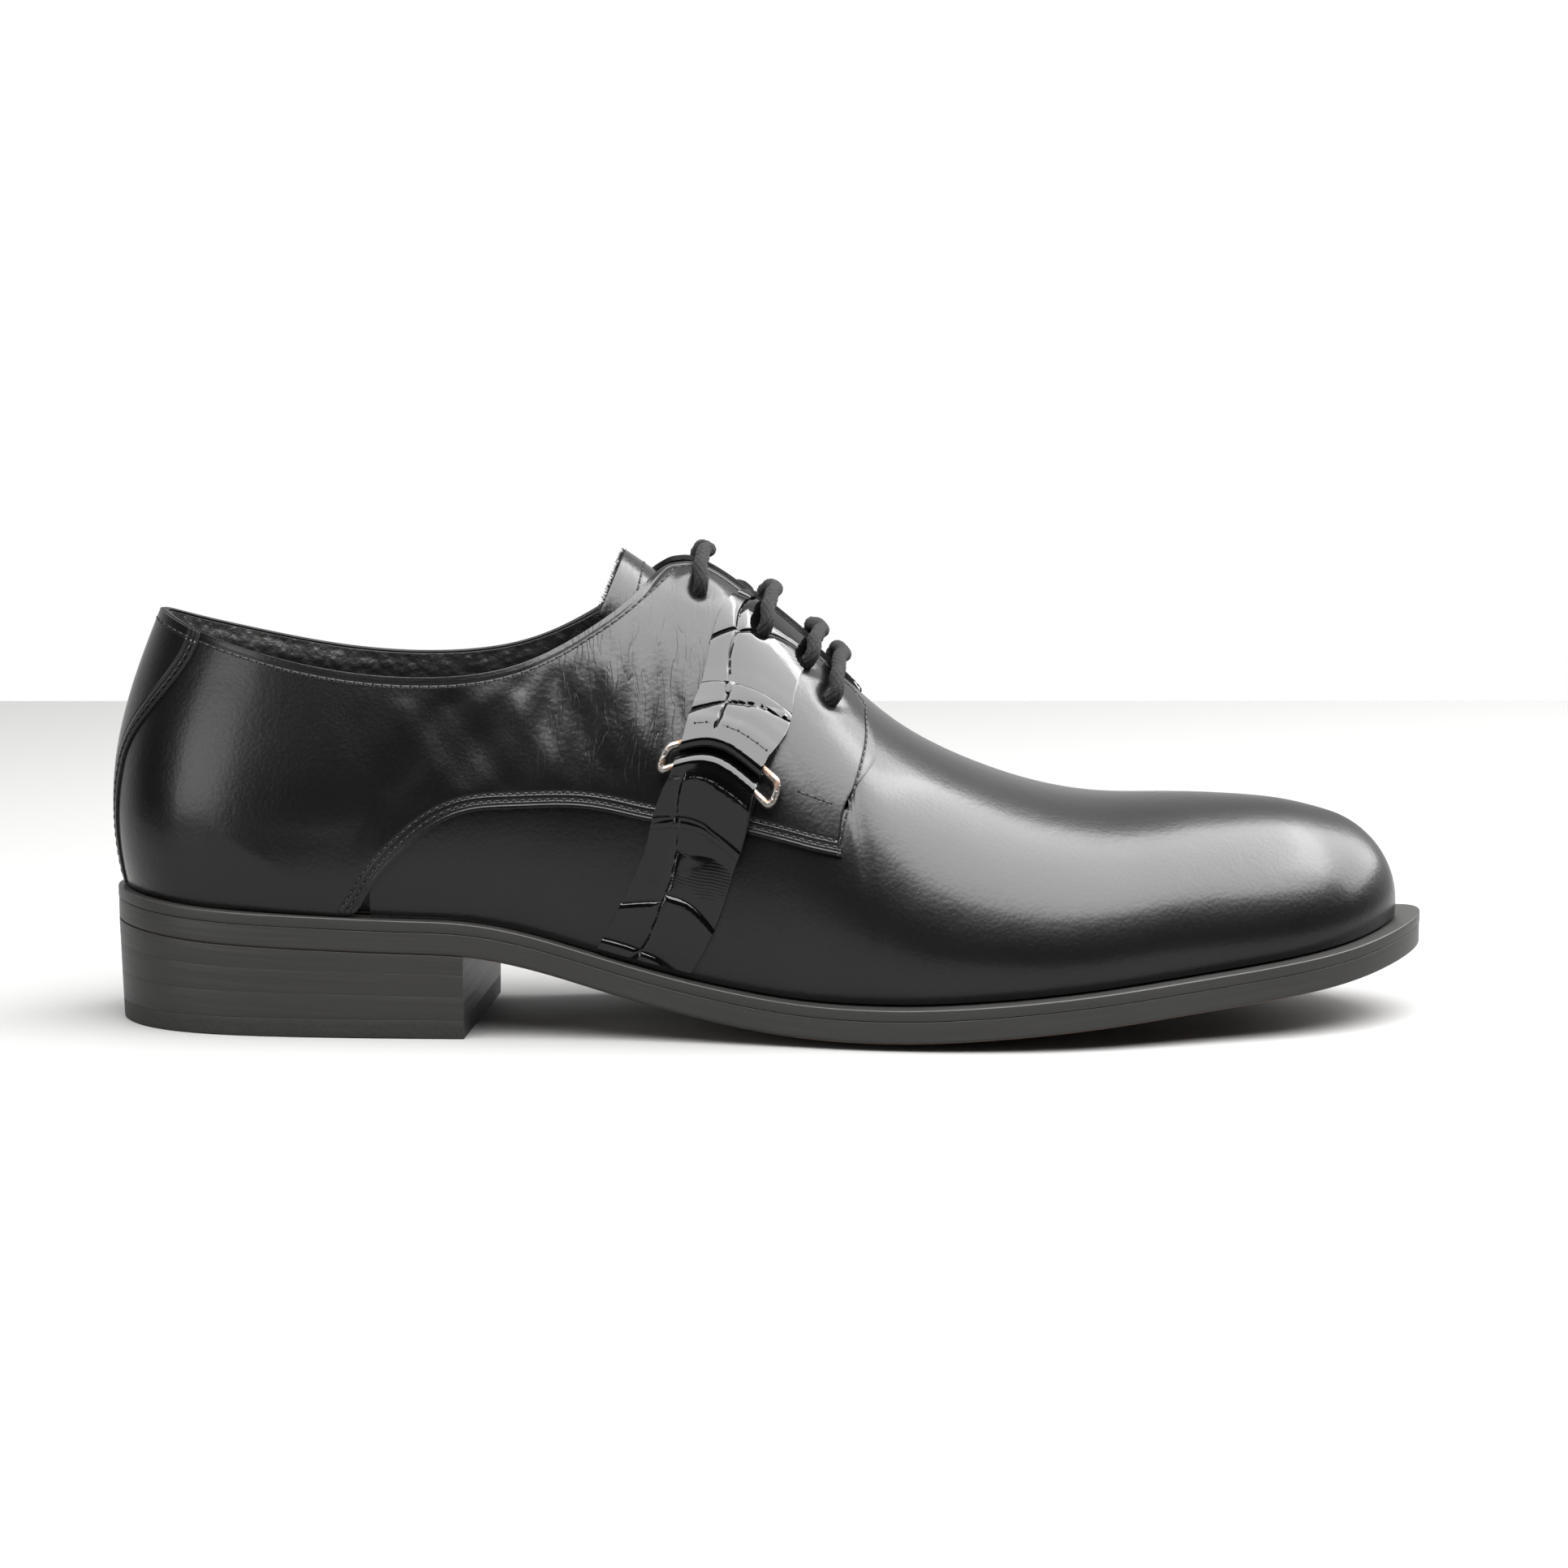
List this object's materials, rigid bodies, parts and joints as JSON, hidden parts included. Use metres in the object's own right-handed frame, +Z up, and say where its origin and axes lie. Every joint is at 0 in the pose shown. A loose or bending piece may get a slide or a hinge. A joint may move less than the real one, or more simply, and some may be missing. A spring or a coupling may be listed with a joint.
{
  "type": "derby dress shoe",
  "caption": "Right derby dress shoe in smooth black leather with stacked heel, laced facings and a patent strap and metal ring on each side.",
  "frame": {"origin": "centre of the bounding box on the plane of the floor under the heel and the ball", "axes": "+X from heel to toe, -Y the outer (lateral) side of this right shoe, +Z up"},
  "size_m": [0.3074, 0.1042, 0.1115],
  "materials": {
    "calf": "smooth fine-grain calf, semi-gloss",
    "patent": "embossed patent, mirror gloss",
    "lining_leather": "grained lining leather, satin",
    "sole_edge": "inked and burnished edge, satin",
    "heel_rubber": "matt",
    "cork": "granular",
    "fibreboard": "matt",
    "shank_steel": "plain",
    "ring_metal": "worn plating",
    "lace_braid": "waxed round braid",
    "aglet_plastic": "clear dark tip"
  },
  "bodies": {
    "shoe": {"aglet_1": "aglet_plastic", "aglet_2": "aglet_plastic", "backstay": "calf", "cork_filler": "cork", "facing_stay_lateral": "fibreboard", "facing_stay_medial": "fibreboard", "heel_counter": "fibreboard", "heel_lift_1": "sole_edge", "heel_lift_2": "sole_edge", "heel_lift_3": "sole_edge", "heel_nail_1": "shank_steel", "heel_nail_2": "shank_steel", "heel_nail_3": "shank_steel", "heel_nail_4": "shank_steel", "heel_nail_5": "shank_steel", "insole": "fibreboard", "lace": "lace_braid", "outsole": "sole_edge", "quarter_lateral": "calf", "quarter_lining": "lining_leather", "quarter_medial": "calf", "shank": "shank_steel", "sock_liner": "lining_leather", "strap_lower_lateral": "patent", "strap_lower_medial": "patent", "strap_upper_lateral": "patent", "strap_upper_medial": "patent", "toe_puff": "fibreboard", "top_piece": "heel_rubber", "vamp": "calf", "vamp_lining": "lining_leather", "welt": "sole_edge"},
    "tongue": {"tongue": "calf", "tongue_lining": "lining_leather"},
    "ring_lateral": {"strap_ring_lateral": "ring_metal"},
    "ring_medial": {"strap_ring_medial": "ring_metal"}
  },
  "joints": [
    {"name": "tongue_hinge", "type": "hinge", "parent": "shoe", "child": "tongue", "pos_m": [0.02677, 0.00051, 0.06622], "axis": [0, 1, 0], "range_deg": [-12, 0], "stiffness_Nm_per_rad": 0.2, "springref_deg": 2.86},
    {"name": "ring_slide_lateral", "type": "slide", "parent": "shoe", "child": "ring_lateral", "axis": [0.9499, -0.1201, -0.2887], "range_m": [-0.00025, 0.00025]},
    {"name": "ring_slide_medial", "type": "slide", "parent": "shoe", "child": "ring_medial", "axis": [0.9515, 0.14, -0.2739], "range_m": [-0.00025, 0.00025]}
  ]
}
